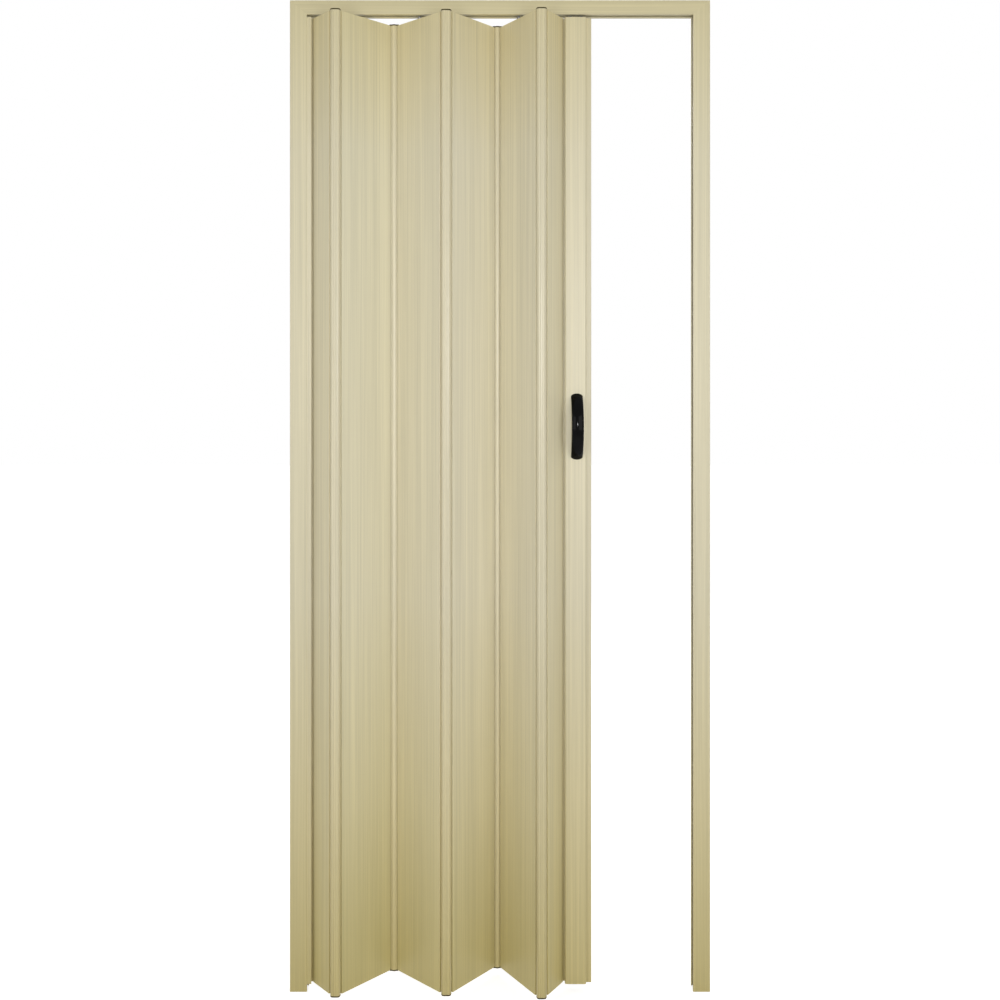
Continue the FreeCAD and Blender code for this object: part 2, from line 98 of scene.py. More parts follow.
# Hinge strips: a power of two would make the crown an ellipse, and a higher one makes it flatter
STRIP_COUNT = 5
STRIP_WALL = 1.2 * MM
CROWN_RISE = 8.0 * MM
CROWN_POWER = 4.0
CROWN_SIDE_DEG = -35.0
RIDGE_RISE = 1.25 * MM
RIDGE_INSET = 1.2 * MM

# Flutes on the crown, placed in shares of half its width
FLUTE_DEPTH = 0.75 * MM
FLUTE_PLACES = (-0.66, -0.22, 0.22, 0.66)
FLUTE_HALF_WIDTH = 0.075

# End caps of the hinge strips
CAP_ROUNDING = 0.8 * MM
CAP_ROUND_PROFILE = 0.5
CAP_SPIGOT = 6.0 * MM
CAP_PLAY = 0.1 * MM

# Lead post, measured from its hinge: a wide body with a step down to the nose
LEAD_WALL = 1.6 * MM
LEAD_START = 5.2 * MM
LEAD_EDGE_HALF = 15.0 * MM
LEAD_EDGE_ROUNDING = 3.0 * MM
LEAD_HALF = 15.5 * MM
LEAD_ROUNDING = 6.0 * MM
LEAD_FLAT_START = 17.0 * MM
LEAD_FLAT_END = 49.4 * MM
LEAD_FLAT_END_ROUNDING = 1.6 * MM
NOSE_START = 50.4 * MM
NOSE_START_HALF = 7.8 * MM
NOSE_START_ROUNDING = 0.8 * MM
NOSE_END = 61.5 * MM
NOSE_END_HALF = 7.5 * MM
NOSE_END_ROUNDING = 2.0 * MM

# Softer outline inside the lead post: the hollow lies one wall further in
HOLLOW_EDGE_HALF = 14.0 * MM
HOLLOW_EDGE_ROUNDING = 9.0 * MM
HOLLOW_FLAT_END = 43.5 * MM
HOLLOW_NOSE_START = 50.6 * MM
HOLLOW_NOSE_ROUNDING = 4.0 * MM

# Starter strip, measured from the first hinge: a base in the jamb, a neck in its mouth and a flange
STARTER_WALL = 1.6 * MM
STARTER_FACE = -5.2 * MM
STARTER_CORNER = 0.8 * MM
FLANGE_BACK = -12.5 * MM
FLANGE_HALF = 13.0 * MM
FLANGE_LIP_RISE = 1.8 * MM
FLANGE_LIP_WIDTH = 2.0 * MM
FLANGE_LIP_SLOPE = 2.0 * MM
STARTER_NECK_HALF = 9.1 * MM
BASE_HALF = 12.0 * MM
BASE_DEPTH = 5.0 * MM

# Jambs and head rail
FRAME_HALF_DEPTH = 14.0 * MM
FRAME_WALL = 1.6 * MM
FRAME_CORNER = 1.0 * MM
RAIL_SLOT_HALF = 5.0 * MM
JAMB_MOUTH_HALF = 9.5 * MM

# Holes for wall screws
HOLE_RADIUS = 2.25 * MM
HOLE_DEPTH = 3 * FRAME_WALL
JAMB_HOLE_HEIGHTS = (250 * MM, 750 * MM, 1350 * MM, 1850 * MM)
RAIL_HOLE_PLACES = (-330 * MM, -110 * MM, 110 * MM, 330 * MM)

# Hinge places at rest and the turns of the folds in degrees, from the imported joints
hinges = {joint["name"]: Vector(joint["pos_m"]) for joint in frame["joints"]}
first_fold = next(joint for joint in frame["joints"] if joint["name"] == "panel_1_fold")
TURN_TO_SHUT = -first_fold["range_deg"][0]
TURN_TO_STACKED = first_fold["range_deg"][1]


def panel_ends(number):
    """Hinge places at both edges of a panel."""
    last = "lead_post_turn" if number == PANEL_COUNT else f"strip_{number}_turn"
    return hinges[f"panel_{number}_fold"], hinges[last]


def fold_of(number):
    """Angle in degrees between a panel and the rail."""
    start, end = panel_ends(number)
    return math.degrees(math.atan2(abs(end.y - start.y), end.x - start.x))


# Outlines in plan

def arc(centre, radius, start, end):
    """Points of an arc between two angles in degrees."""
    steps = max(2, math.ceil(abs(end - start) / ARC_STEP_DEG))
    points = []
    for step in range(steps + 1):
        angle = math.radians(start + (end - start) * step / steps)
        points.append((centre[0] + radius * math.cos(angle), centre[1] + radius * math.sin(angle)))
    return points


def rounded(corners):
    """Closed outline of corners given as x, y and radius, which is negative in a hollow bend."""
    points = []
    for index, (x, y, radius) in enumerate(corners):
        if radius == 0:
            points.append((x, y))
            continue
        here = Vector((x, y))
        before = (Vector(corners[index - 1][:2]) - here).normalized()
        after = (Vector(corners[(index + 1) % len(corners)][:2]) - here).normalized()
        half = before.angle(after) / 2
        radius = abs(radius)
        centre = here + (before + after).normalized() * (radius / math.sin(half))
        first = here + before * (radius / math.tan(half)) - centre
        last = here + after * (radius / math.tan(half)) - centre
        start = math.degrees(math.atan2(first.y, first.x))
        turn = math.degrees(math.atan2(first.x * last.y - first.y * last.x, first.dot(last)))
        points += arc(centre, radius, start, start + turn)
    return points


def mirrored_below(half_corners):
    """Corners below the X axis followed by their mirror images above it."""
    below = [(x, -y, radius) for x, y, radius in half_corners]
    return below + list(reversed(half_corners))


def moved_in(corners, inset):
    """Corners of an outline moved in by a wall, each along the bisector of its sides."""
    moved = []
    for index, (x, y, radius) in enumerate(corners):
        here = Vector((x, y))
        arriving = (here - Vector(corners[index - 1][:2])).normalized()
        leaving = (Vector(corners[(index + 1) % len(corners)][:2]) - here).normalized()
        along = (arriving + leaving) * (inset / (1 + arriving.dot(leaving)))
        moved.append((x - along.y, y + along.x, radius - inset))
    return moved


def panel_loops(length):
    """Outline of a panel along X with its beads, and its hollow cells."""
    end = length - BODY_START
    neck = math.degrees(math.asin(NECK_HALF / BEAD_RADIUS))
    inset = PANEL_CORNER
    outline = arc((0, 0), BEAD_RADIUS, neck, 360 - neck)
    outline.append((BODY_START, -NECK_HALF))
    outline += arc((BODY_START + inset, inset - PANEL_HALF), inset, 180, 270)
    outline += arc((end - inset, inset - PANEL_HALF), inset, 270, 360)
    outline.append((end, -NECK_HALF))
    outline += arc((length, 0), BEAD_RADIUS, 180 + neck, 540 - neck)
    outline.append((end, NECK_HALF))
    outline += arc((end - inset, PANEL_HALF - inset), inset, 0, 90)
    outline += arc((BODY_START + inset, PANEL_HALF - inset), inset, 90, 180)
    outline.append((BODY_START, NECK_HALF))
    start = BODY_START + PANEL_WALL
    span = end - PANEL_WALL - start
    cells = 2 * round((span / PANEL_CELL_PITCH - 1) / 2) + 1
    pitch = (span + PANEL_WEB) / cells
    half = PANEL_HALF - PANEL_WALL
    loops = [outline]
    for cell in range(cells):
        low = start + cell * pitch
        high = low + pitch - PANEL_WEB
        loops.append([(low, -half), (high, -half), (high, half), (low, half)])
    return loops


def socket_path(centre, arm_deg, mouth_start, mouth_end):
    """Wall of a socket from one side of its arm to the other, in and out of its bore."""
    junction = math.degrees(math.asin(ARM_HALF / SOCKET_RADIUS))
    path = arc(centre, SOCKET_RADIUS, arm_deg + junction, mouth_start)
    path += arc(centre, BORE_RADIUS, mouth_start, mouth_end - 360)
    return path + arc(centre, SOCKET_RADIUS, mouth_end - 360, arm_deg - junction)


def front_crossing(centre_y, radius, socket_x):
    """Point where a crown circle on the middle line meets the front of a socket."""
    centre = Vector((0, centre_y))
    towards = Vector((socket_x, 0)) - centre
    distance = towards.length
    along = (radius ** 2 - SOCKET_RADIUS ** 2 + distance ** 2) / (2 * distance)
    across = math.sqrt(radius ** 2 - along ** 2)
    towards.normalize()
    return centre + towards * along + Vector((towards.y, -towards.x)) * across


def angle_from(centre, point):
    """Direction in degrees from one point to another."""
    return math.degrees(math.atan2(point[1] - centre[1], point[0] - centre[0]))


def crown_sizes(pitch):
    """Radius of a strip's crown and the place of its centre on the middle line."""
    edge = pitch / 2 + SOCKET_RADIUS
    radius = (edge ** 2 + CROWN_RISE ** 2) / (2 * CROWN_RISE)
    return radius, radius - CROWN_RISE


def crown_arc(pitch, fluted):
    """Front of a strip from left to right, nearly flat between tight shoulders, fluted if wanted."""
    turned = math.radians(CROWN_SIDE_DEG)
    edge = pitch / 2 + SOCKET_RADIUS * math.cos(turned)
    base = -SOCKET_RADIUS * math.sin(turned)
    points = []
    for step in range(CROWN_STEPS + 1):
        share = -math.cos(math.pi * step / CROWN_STEPS)
        height = base + (CROWN_RISE - base) * math.sqrt(1 - abs(share) ** CROWN_POWER)
        for place in FLUTE_PLACES:
            offset = abs(share - place) / FLUTE_HALF_WIDTH
            if fluted and offset < 1:
                height -= FLUTE_DEPTH * (1 + math.cos(math.pi * offset)) / 2
        points.append((edge * share, -height))
    return points


def strip_cavity(pitch, play):
    """Outline of the hollow between a strip's crown and its sockets."""
    radius, centre_y = crown_sizes(pitch)
    inner = radius - STRIP_WALL - play
    crossing = front_crossing(centre_y, inner, pitch / 2)
    right = angle_from((0, centre_y), crossing)
    beside = angle_from((pitch / 2, 0), crossing) + 360
    web = 180 + math.degrees(math.asin((STRIP_WALL / 2 + play) / SOCKET_RADIUS))
    outline = arc((0, centre_y), inner, -180 - right, right)
    outline += arc((pitch / 2, 0), SOCKET_RADIUS, beside, web)
    return outline + arc((-pitch / 2, 0), SOCKET_RADIUS, 180 - web, 180 - beside)


def ridge_sizes(pitch):
    """Radius of the ridge behind a strip's sockets and the place of its centre on the middle line."""
    edge = pitch / 2 - RIDGE_INSET
    top = SOCKET_RADIUS + RIDGE_RISE
    rise = top - BORE_RADIUS
    radius = (edge ** 2 + rise ** 2) / (2 * rise)
    return radius, top - radius


def ridge_crossing(pitch):
    """Point where the ridge leaves the right socket."""
    radius, centre_y = ridge_sizes(pitch)
    crossing = front_crossing(-centre_y, radius, pitch / 2)
    return (crossing.x, -crossing.y)


def ridge_arc(pitch):
    """Ridge behind a strip's sockets from right to left."""
    radius, centre_y = ridge_sizes(pitch)
    right = angle_from((0, centre_y), ridge_crossing(pitch))
    return arc((0, centre_y), radius, right, 180 - right)


def ridge_gap(pitch):
    """Outline of the gap between a strip's web and its ridge."""
    up = math.degrees(math.asin(BORE_RADIUS / SOCKET_RADIUS))
    right = arc((pitch / 2, 0), SOCKET_RADIUS, 180 - up, 180)
    return right + arc((-pitch / 2, 0), SOCKET_RADIUS, 0, up)


def strip_loops(pitch, left_fold, right_fold):
    """Outline of a hinge strip with open sockets, its crown towards minus Y, and its hollows."""
    behind = angle_from((pitch / 2, 0), ridge_crossing(pitch))
    outline = crown_arc(pitch, fluted=True)
    low = right_fold - TURN_TO_SHUT - MOUTH_HALF
    high = right_fold + TURN_TO_STACKED + MOUTH_HALF
    right = (pitch / 2, 0)
    outline += arc(right, SOCKET_RADIUS, CROWN_SIDE_DEG, low)
    outline += arc(right, BORE_RADIUS, low, high - 360)
    outline += arc(right, SOCKET_RADIUS, high, behind)
    outline += ridge_arc(pitch)
    low = 180 - (left_fold + TURN_TO_STACKED + MOUTH_HALF)
    high = 180 - (left_fold - TURN_TO_SHUT - MOUTH_HALF)
    left = (-pitch / 2, 0)
    outline += arc(left, SOCKET_RADIUS, 180 - behind, low)
    outline += arc(left, BORE_RADIUS, low, high - 360)
    outline += arc(left, SOCKET_RADIUS, high, 180 - CROWN_SIDE_DEG)
    return [outline, strip_cavity(pitch, 0), ridge_gap(pitch)]


def cap_outline(pitch):
    """Outline of a strip's end cap, which covers the sockets and the ridge too."""
    behind = angle_from((pitch / 2, 0), ridge_crossing(pitch))
    outline = crown_arc(pitch, fluted=False)
    outline += arc((pitch / 2, 0), SOCKET_RADIUS, CROWN_SIDE_DEG, behind)
    outline += ridge_arc(pitch)
    return outline + arc((-pitch / 2, 0), SOCKET_RADIUS, 180 - behind, 180 - CROWN_SIDE_DEG)


def lead_loops():
    """Outline of the lead post measured from its hinge, with its hollow."""
    flat_start = (LEAD_FLAT_START, LEAD_HALF, LEAD_ROUNDING)
    nose_end = (NOSE_END, NOSE_END_HALF, NOSE_END_ROUNDING)
    outer = [
        (LEAD_START, ARM_HALF, 0),
        (LEAD_START, LEAD_EDGE_HALF, LEAD_EDGE_ROUNDING),
        flat_start,
        (LEAD_FLAT_END, LEAD_HALF, LEAD_FLAT_END_ROUNDING),
        (NOSE_START, NOSE_START_HALF, -NOSE_START_ROUNDING),
        nose_end,
    ]
    inner = [
        (LEAD_START, HOLLOW_EDGE_HALF, HOLLOW_EDGE_ROUNDING),
        flat_start,
        (HOLLOW_FLAT_END, LEAD_HALF, LEAD_ROUNDING),
        (HOLLOW_NOSE_START, NOSE_START_HALF, -HOLLOW_NOSE_ROUNDING),
        nose_end,
    ]
    outline = rounded(mirrored_below(outer))
    mouth = 180 + fold_of(PANEL_COUNT)
    mouth_start = mouth - TURN_TO_SHUT - MOUTH_HALF
    mouth_end = mouth + TURN_TO_STACKED + MOUTH_HALF
    outline += socket_path((0, 0), 0, mouth_start, mouth_end)
    return [outline, rounded(moved_in(mirrored_below(inner), LEAD_WALL))]


def starter_loops():
    """Outline of the starter strip measured from the first hinge, with its hollow."""
    neck_back = FLANGE_BACK - FRAME_WALL
    base_back = neck_back - BASE_DEPTH
    lip_face = STARTER_FACE + FLANGE_LIP_RISE
    lip_half = FLANGE_HALF - FLANGE_LIP_WIDTH
    half = [
        (base_back, BASE_HALF, 0),
        (neck_back, BASE_HALF, 0),
        (neck_back, STARTER_NECK_HALF, 0),
        (FLANGE_BACK, STARTER_NECK_HALF, 0),
        (FLANGE_BACK, FLANGE_HALF, 0),
        (lip_face, FLANGE_HALF, STARTER_CORNER),
        (lip_face, lip_half, 0),
        (STARTER_FACE, lip_half - FLANGE_LIP_SLOPE, 0),
        (STARTER_FACE, ARM_HALF, 0),
    ]
    above = list(reversed(half))
    below = [(x, -y, radius) for x, y, radius in half]
    outline = rounded(above + below)
    fold = fold_of(1)
    mouth_start = 360 - (fold + TURN_TO_STACKED) - MOUTH_HALF
    mouth_end = 360 - (fold - TURN_TO_SHUT) + MOUTH_HALF
    outline += socket_path((0, 0), 180, mouth_start, mouth_end)
    hollow_half = STARTER_NECK_HALF - STARTER_WALL
    low = base_back + STARTER_WALL
    high = STARTER_FACE - STARTER_WALL
    hollow = [(low, -hollow_half), (high, -hollow_half), (high, hollow_half), (low, hollow_half)]
    return [outline, hollow]


def channel_outline(depth, mouth_half):
    """C section with its back at zero and its mouth at the given depth, symmetric about X."""
    half = FRAME_HALF_DEPTH
    wall = FRAME_WALL
    soft = FRAME_CORNER
    lip = soft / 2
    return rounded(mirrored_below([
        (wall, half - wall, 0), (depth - wall, half - wall, 0), (depth - wall, mouth_half, lip),
        (depth, mouth_half, lip), (depth, half, soft), (0, half, soft),
    ]))


# Meshes

def swept(name, loops, low, high):
    """Piece over plan loops, the first one the outline and the others hollows.

    low and high give the place of a plan point at each end. The grain map runs round the loop and
    along the piece, in metres.
    """
    vertices = []
    faces = []
    grain = []
    for loop in loops:
        first = len(vertices)
        count = len(loop)
        travel = 0.0
        for index, point in enumerate(loop):
            vertices += [low(point), high(point)]
            following = loop[(index + 1) % count]
            step = math.dist(point, following)
            here = first + 2 * index
            after = first + 2 * ((index + 1) % count)
            faces.append((here, after, after + 1, here + 1))
            start = vertices[here]
            end = vertices[here + 1]
            length = math.dist(start, end)
            grain.append(((travel, 0), (travel + step, 0), (travel + step, length), (travel, length)))
            travel += step
    flat = [point for loop in loops for point in loop]
    ends = tessellate_polygon([[Vector((x, y, 0)) for x, y in loop] for loop in loops])
    for triangle in ends:
        for end in (0, 1):
            faces.append(tuple(2 * index + end for index in triangle))
            grain.append(tuple(flat[index] for index in triangle))
    mesh = bpy.data.meshes.new(name)
    mesh.from_pydata(vertices, [], faces)
    layer = mesh.uv_layers.new(name=GRAIN_MAP)
    for polygon, corners in zip(mesh.polygons, grain):
        for corner, place in zip(polygon.loop_indices, corners):
            layer.data[corner].uv = place
    return finished(name, mesh)


def finished(name, mesh):
    """Object with outward faces and smooth shading between flat ones."""
    work = bmesh.new()
    work.from_mesh(mesh)
    bmesh.ops.recalc_face_normals(work, faces=work.faces)
    work.to_mesh(mesh)
    work.free()
    mesh.shade_smooth()
    mesh.set_sharp_from_angle(angle=math.radians(SHARP_DEG))
    piece = bpy.data.objects.new(name, mesh)
    bpy.context.scene.collection.objects.link(piece)
    return piece


def upright(loops, turn_deg, at, bottom, top, name):
    """Piece that stands upright, its plan turned about the origin and then moved."""
    turned = math.radians(turn_deg)
    cosine = math.cos(turned)
    sine = math.sin(turned)

    def place(point, height):
        x = at.x + point[0] * cosine - point[1] * sine
        y = at.y + point[0] * sine + point[1] * cosine
        return (x, y, height)

    return swept(name, loops, lambda point: place(point, bottom), lambda point: place(point, top))


def joined(name, pieces):
    """One piece from several."""
    work = bmesh.new()
    for piece in pieces:
        work.from_mesh(piece.data)
    mesh = pieces[0].data
    for piece in pieces[1:]:
        bpy.data.objects.remove(piece)
    work.to_mesh(mesh)
    work.free()
    pieces[0].name = name
    return pieces[0]


def drilled(piece, places, axis, depth):
    """Piece with round holes at some places along an axis."""
    work = bmesh.new()
    turn = Vector((0, 0, 1)).rotation_difference(axis).to_matrix().to_4x4()
    for place in places:
        made = bmesh.ops.create_cone(
            work, cap_ends=True, segments=HOLE_SEGMENTS,
            radius1=HOLE_RADIUS, radius2=HOLE_RADIUS, depth=depth)
        bmesh.ops.transform(work, matrix=turn, verts=made["verts"])
        bmesh.ops.translate(work, vec=place, verts=made["verts"])
    mesh = bpy.data.meshes.new("drill")
    work.to_mesh(mesh)
    work.free()
    drill = bpy.data.objects.new("drill", mesh)
    bpy.context.scene.collection.objects.link(drill)
    cut = piece.modifiers.new("holes", "BOOLEAN")
    cut.operation = "DIFFERENCE"
    cut.solver = "EXACT"
    cut.object = drill
    view = bpy.context.evaluated_depsgraph_get()
    result = bpy.data.meshes.new_from_object(piece.evaluated_get(view))
    piece.modifiers.clear()
    piece.data = result
    bpy.data.objects.remove(drill)
    return piece


# Tones of the cream profiles at shares of the height, from the foot to the head
# The ramp is painted light: darker and yellower towards the foot and the head as painted shade, paler at
# mid-height as a painted sheen
TONE_HEIGHTS = (0.0, 0.19, 0.40, 0.85, 0.999)
# Panels lighter than the frame as painted light, making up for their turn away from the lamps
PANEL_PAINTED_LIGHT_TONES = (
    (0.54, 0.46, 0.19),
    (0.64, 0.57, 0.34),
    (0.675, 0.62, 0.445),
    (0.675, 0.625, 0.455),
    (0.65, 0.57, 0.325),
)
FRAME_PAINTED_LIGHT_TONES = (
    (0.52, 0.44, 0.195),
    (0.585, 0.515, 0.305),
    (0.60, 0.55, 0.395),
    (0.60, 0.55, 0.39),
    (0.595, 0.53, 0.325),
)

# Painted light and shade: lighter and darker copies of one plastic for each piece, evening out how light
# falls on them; for the panels from left to right
STRIP_PAINTED_LIGHT = (1.04, 1.04, 1.05)
JAMB_PAINTED_SHADE = (0.97, 0.97, 0.95)
PANEL_PAINTED_LIGHT_SHARES = (
    (1.03, 1.02, 0.98),
    (0.97, 0.98, 0.98),
    (0.99, 0.99, 0.99),
    (1.00, 1.01, 1.05),
    (1.00, 1.00, 1.01),
    (1.03, 1.02, 0.98),
)

# Wood grain in three layers, each stretched along the piece and with its own share in the tone
BROAD_STRETCH = (45, 0.5, 1)
VEIN_STRETCH = (220, 1.0, 1)
FINE_STRETCH = (620, 3, 1)
BROAD_SHARE = 0.6
VEIN_SHARE = 1.0
FINE_SHARE = 0.9
STREAKS = 0.065
FINE_RELIEF_SHARE = 0.5
GRAIN_STRENGTH = 0.25
GRAIN_DEPTH = 0.08 * MM

# Gloss of the cream profiles
PANEL_ROUGHNESS = 0.42
STRIP_ROUGHNESS = 0.34
ROUGHNESS_SPREAD = 0.06
PROFILE_SPECULAR = 0.4

# Places in the grain at which the pieces are cut
PANEL_SEED_STEP = 1.7
STRIP_SEED_STEP = 2.3
STARTER_SEED = 5.3
FRAME_SEED = 7.9
LEAD_SEED = 9.1

# Moulded plastic
CLOUD_SCALE = 40
TEXTURE_SCALE = 2200
UNEVEN_GLOSS = 0.15
TEXTURE_STRENGTH = 0.15
SMOOTH_RELIEF = 0.004 * MM
MATT_RELIEF = 0.04 * MM

# Drawn steel
MARK_STRETCH = (900, 900, 30)
MARK_STRENGTH = 0.2
MARK_DEPTH = 0.03 * MM
PATCH_SCALE = 120
PATCH_SHADE = 0.75
STEEL_SMOOTHEST = 0.28
STEEL_ROUGHEST = 0.45

# Usual reach of the values of a noise texture
NOISE_LOW = 0.3
NOISE_HIGH = 0.7


def new_finish(name):
    """New node material and its shader."""
    material = bpy.data.materials.new(name)
    material.use_nodes = True
    return material, material.node_tree.nodes["Principled BSDF"]


class Nodes:
    """Short calls that add nodes to a material or a world and link them."""

    def __init__(self, owner):
        self.tree = owner.node_tree

    def add(self, kind, **values):
        node = self.tree.nodes.new(kind)
        for key, value in values.items():
            setattr(node, key, value)
        return node

    def link(self, source, target):
        self.tree.links.new(source, target)

    def noise(self, vector, scale, detail):
        node = self.add("ShaderNodeTexNoise")
        node.inputs["Scale"].default_value = scale
        node.inputs["Detail"].default_value = detail
        self.link(vector, node.inputs["Vector"])
        return node.outputs["Fac"]

    def stretched(self, vector, scale, offset=(0, 0, 0)):
        node = self.add("ShaderNodeMapping")
        node.inputs["Scale"].default_value = scale
        node.inputs["Location"].default_value = offset
        self.link(vector, node.inputs["Vector"])
        return node.outputs["Vector"]

    def between(self, value, low, high, from_low=NOISE_LOW, from_high=NOISE_HIGH):
        node = self.add("ShaderNodeMapRange")
        node.inputs["From Min"].default_value = from_low
        node.inputs["From Max"].default_value = from_high
        node.inputs["To Min"].default_value = low
        node.inputs["To Max"].default_value = high
        self.link(value, node.inputs["Value"])
        return node.outputs["Result"]

    def math(self, operation, *values):
        node = self.add("ShaderNodeMath", operation=operation)
        for socket, value in zip(node.inputs, values):
            if isinstance(value, (int, float)):
                socket.default_value = value
            else:
                self.link(value, socket)
        return node.outputs["Value"]

    def mixed(self, factor, first, second):
        node = self.add("ShaderNodeMix", data_type="RGBA")
        self.link(factor, node.inputs["Factor"])
        for socket, value in ((node.inputs["A"], first), (node.inputs["B"], second)):
            if isinstance(value, tuple):
                socket.default_value = (*value, 1)
            else:
                self.link(value, socket)
        return node.outputs["Result"]

    def ramp(self, factor, stops):
        node = self.add("ShaderNodeValToRGB")
        self.link(factor, node.inputs["Fac"])
        points = node.color_ramp.elements
        points.remove(points[-1])
        for index, (place, colour) in enumerate(stops):
            point = points.new(place) if index else points[0]
            point.position = place
            point.color = (*colour, 1)
        return node.outputs["Color"]

    def bump(self, height, strength, distance):
        node = self.add("ShaderNodeBump")
        node.inputs["Strength"].default_value = strength
        node.inputs["Distance"].default_value = distance
        self.link(height, node.inputs["Height"])
        return node.outputs["Normal"]


def grained_plastic(name, tones, seed, roughness):
    """Cream plastic with faint upright wood grain, darker and yellower at its foot and head as painted
    shade.
    """
    material, shader = new_finish(name)
    nodes = Nodes(material)
    grain = nodes.add("ShaderNodeUVMap", uv_map=GRAIN_MAP).outputs["UV"]
    shift = (seed, 2 * seed, 0)
    broad = nodes.noise(nodes.stretched(grain, BROAD_STRETCH, shift), scale=1, detail=2)
    veins = nodes.noise(nodes.stretched(grain, VEIN_STRETCH, shift), scale=1, detail=3)
    fine = nodes.noise(nodes.stretched(grain, FINE_STRETCH, shift), scale=1, detail=3)
    tone = nodes.between(broad, -BROAD_SHARE, BROAD_SHARE)
    tone = nodes.math("ADD", tone, nodes.between(veins, -VEIN_SHARE, VEIN_SHARE))
    tone = nodes.math("ADD", tone, nodes.between(fine, -FINE_SHARE, FINE_SHARE))
    value = nodes.math("MULTIPLY_ADD", tone, STREAKS, 1.0)
    place = nodes.add("ShaderNodeSeparateXYZ")
    nodes.link(nodes.add("ShaderNodeTexCoord").outputs["Object"], place.inputs["Vector"])
    # Painted shade and sheen: the tone ramp over the height darkens and yellows the foot and the head,
    # and pales the middle
    height = nodes.between(place.outputs["Z"], 0, 1, 0, cad_box[1][2])
    streaked = nodes.add("ShaderNodeHueSaturation")
    nodes.link(nodes.ramp(height, zip(TONE_HEIGHTS, tones)), streaked.inputs["Color"])
    nodes.link(value, streaked.inputs["Value"])
    nodes.link(streaked.outputs["Color"], shader.inputs["Base Color"])
    gloss = nodes.between(veins, roughness - ROUGHNESS_SPREAD, roughness + ROUGHNESS_SPREAD)
    nodes.link(gloss, shader.inputs["Roughness"])
    relief = nodes.math("ADD", veins, nodes.math("MULTIPLY", fine, FINE_RELIEF_SHARE))
    nodes.link(nodes.bump(relief, GRAIN_STRENGTH, GRAIN_DEPTH), shader.inputs["Normal"])
    shader.inputs["Specular IOR Level"].default_value = PROFILE_SPECULAR
    return material


def moulded_plastic(name, colour, roughness, speckle, specular, relief):
    """Plain moulded plastic with a fine texture and slightly uneven gloss."""
    material, shader = new_finish(name)
    nodes = Nodes(material)
    place = nodes.add("ShaderNodeTexCoord").outputs["Object"]
    cloud = nodes.noise(place, CLOUD_SCALE, detail=3)
    texture = nodes.noise(place, TEXTURE_SCALE, detail=2)
    lighter = tuple(channel * (1 + speckle) for channel in colour)
    nodes.link(nodes.mixed(nodes.between(cloud, 0, 1), colour, lighter), shader.inputs["Base Color"])
    gloss = nodes.between(cloud, roughness * (1 - UNEVEN_GLOSS), roughness * (1 + UNEVEN_GLOSS))
    nodes.link(gloss, shader.inputs["Roughness"])
    nodes.link(nodes.bump(texture, TEXTURE_STRENGTH, relief), shader.inputs["Normal"])
    shader.inputs["Specular IOR Level"].default_value = specular
    return material


def drawn_steel(name, colour):
    """Plated steel with fine drawing marks and dull patches."""
    material, shader = new_finish(name)
    nodes = Nodes(material)
    place = nodes.add("ShaderNodeTexCoord").outputs["Object"]
    marks = nodes.noise(nodes.stretched(place, MARK_STRETCH), scale=1, detail=3)
    patches = nodes.noise(place, PATCH_SCALE, detail=3)
    dull = tuple(channel * PATCH_SHADE for channel in colour)
    nodes.link(nodes.mixed(nodes.between(patches, 0, 1), colour, dull), shader.inputs["Base Color"])
    nodes.link(nodes.between(marks, STEEL_SMOOTHEST, STEEL_ROUGHEST), shader.inputs["Roughness"])
    nodes.link(nodes.bump(marks, MARK_STRENGTH, MARK_DEPTH), shader.inputs["Normal"])
    shader.inputs["Metallic"].default_value = 1.0
    return material


def shaded(tones, shade):
    """Tones with each channel changed by a slight share, as painted light or shade on a piece."""
    return [tuple(map(operator.mul, tone, shade)) for tone in tones]


dark_cap = moulded_plastic(
    "dark_cap_plastic", (0.030, 0.022, 0.006),
    roughness=0.5, speckle=0.5, specular=0.12, relief=MATT_RELIEF)
gloss_black = moulded_plastic(
    "handle_plastic", (0.0003, 0.0003, 0.0004),
    roughness=0.11, speckle=0.6, specular=0.08, relief=SMOOTH_RELIEF)
dark_plug = moulded_plastic(
    "plug_plastic", (0.022, 0.020, 0.017),
    roughness=0.5, speckle=0.4, specular=0.3, relief=MATT_RELIEF)
nylon = moulded_plastic(
    "wheel_nylon", (0.60, 0.60, 0.57),
    roughness=0.4, speckle=0.05, specular=0.5, relief=MATT_RELIEF)
steel = drawn_steel("plated_steel", (0.42, 0.42, 0.43))


def fit(piece, body, slot, material, *nodes):
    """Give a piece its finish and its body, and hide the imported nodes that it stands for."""
    piece.data.materials.clear()
    piece.data.materials.append(material)
    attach(piece, body)
    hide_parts(*nodes)


# Panels
for number in range(1, PANEL_COUNT + 1):
    start, end = panel_ends(number)
    low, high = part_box(f"panel_{number}")
    across = end - start
    turn = math.degrees(math.atan2(across.y, across.x))
    loops = panel_loops(math.hypot(across.x, across.y))
    panel = upright(loops, turn, start, low.z, high.z, f"leaf_panel_{number}")
    # Each panel's own copy of the tones, lighter or darker as painted light and shade
    tones = shaded(PANEL_PAINTED_LIGHT_TONES, PANEL_PAINTED_LIGHT_SHARES[number - 1])
    finish = grained_plastic(f"panel_plastic_{number}", tones, PANEL_SEED_STEP * number, PANEL_ROUGHNESS)
    fit(panel, f"leaf_{number}", "pvc", finish, f"panel_{number}")


